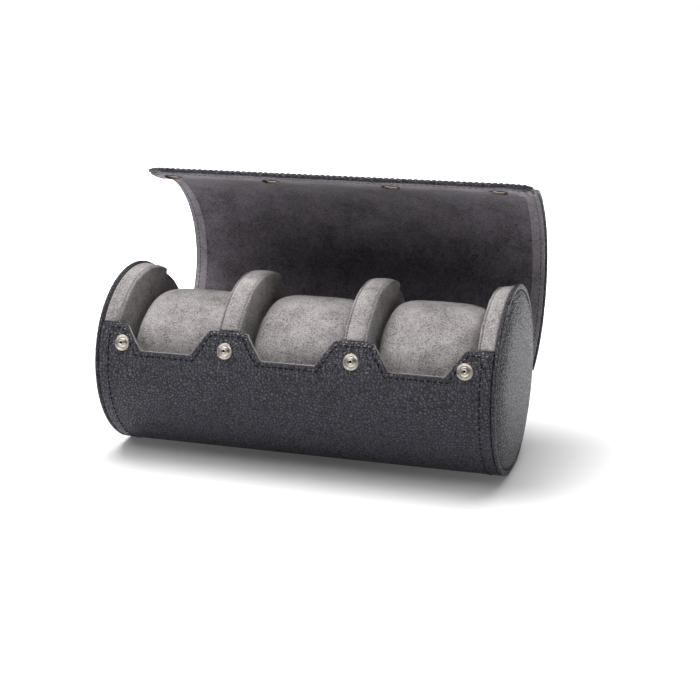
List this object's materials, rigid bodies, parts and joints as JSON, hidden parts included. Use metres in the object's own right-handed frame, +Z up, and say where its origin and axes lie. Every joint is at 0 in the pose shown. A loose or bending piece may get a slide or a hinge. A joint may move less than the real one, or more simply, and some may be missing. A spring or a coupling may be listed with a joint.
{
  "type": "watch travel case",
  "caption": "Cylindrical leather watch roll with a hinged press-stud lid, padded dividers and lift-out watch cushions in a velour-lined tube.",
  "frame": {"origin": "centre of the flat that the case rests on, midway between the end caps", "axes": "+X along the tube from the left end cap to the right, -Y towards the front with the press studs, +Z up"},
  "size_m": [0.195, 0.1231, 0.1339],
  "materials": {
    "leather": "satin",
    "bead_leather": "matte",
    "board": "matte",
    "lining": "matte",
    "velour": "matte",
    "padding": "matte",
    "foam": "matte",
    "nickel": "polished",
    "socket_metal": "satin",
    "cap_metal": "satin"
  },
  "bodies": {
    "case": {"shell_leather": "leather", "shell_board": "board", "shell_lining": "lining", "end_left_leather": "leather", "end_left_board": "board", "end_right_leather": "leather", "end_right_board": "board", "hinge_bead": "bead_leather", "snap_studs": "nickel", "stud_rivets": "nickel", "pad_left_core": "padding", "pad_left_band": "velour", "pad_left_face": "velour", "pad_right_core": "padding", "pad_right_band": "velour", "pad_right_face": "velour", "divider_left_core": "padding", "divider_left_band": "velour", "divider_left_faces": "velour", "divider_right_core": "padding", "divider_right_band": "velour", "divider_right_faces": "velour"},
    "lid": {"lid_leather": "leather", "lid_board": "board", "lid_lining": "lining", "crease_bead": "bead_leather"},
    "flap": {"flap_leather": "leather", "flap_board": "board", "flap_lining": "lining", "snap_sockets": "socket_metal", "snap_springs": "socket_metal", "snap_caps": "cap_metal"},
    "cushion_left": {"cushion_left_core": "foam", "cushion_left_sleeve": "velour", "cushion_left_sides": "velour"},
    "cushion_middle": {"cushion_middle_core": "foam", "cushion_middle_sleeve": "velour", "cushion_middle_sides": "velour"},
    "cushion_right": {"cushion_right_core": "foam", "cushion_right_sleeve": "velour", "cushion_right_sides": "velour"}
  },
  "joints": [
    {"name": "lid_hinge", "type": "hinge", "parent": "case", "child": "lid", "pos_m": [0, 0.04593, 0.03623], "axis": [-1, 0, 0], "range_deg": [-60, 80]},
    {"name": "flap_crease", "type": "hinge", "parent": "lid", "child": "flap", "pos_m": [0, 0.02679, 0.12677], "axis": [-1, 0, 0], "range_deg": [-31, 29], "stiffness_Nm_per_rad": 0.5},
    {"name": "cushion_left_lift", "type": "slide", "parent": "case", "child": "cushion_left", "axis": [0, 0, 1], "range_m": [0, 0.05]},
    {"name": "cushion_middle_lift", "type": "slide", "parent": "case", "child": "cushion_middle", "axis": [0, 0, 1], "range_m": [0, 0.05]},
    {"name": "cushion_right_lift", "type": "slide", "parent": "case", "child": "cushion_right", "axis": [0, 0, 1], "range_m": [0, 0.05]}
  ]
}
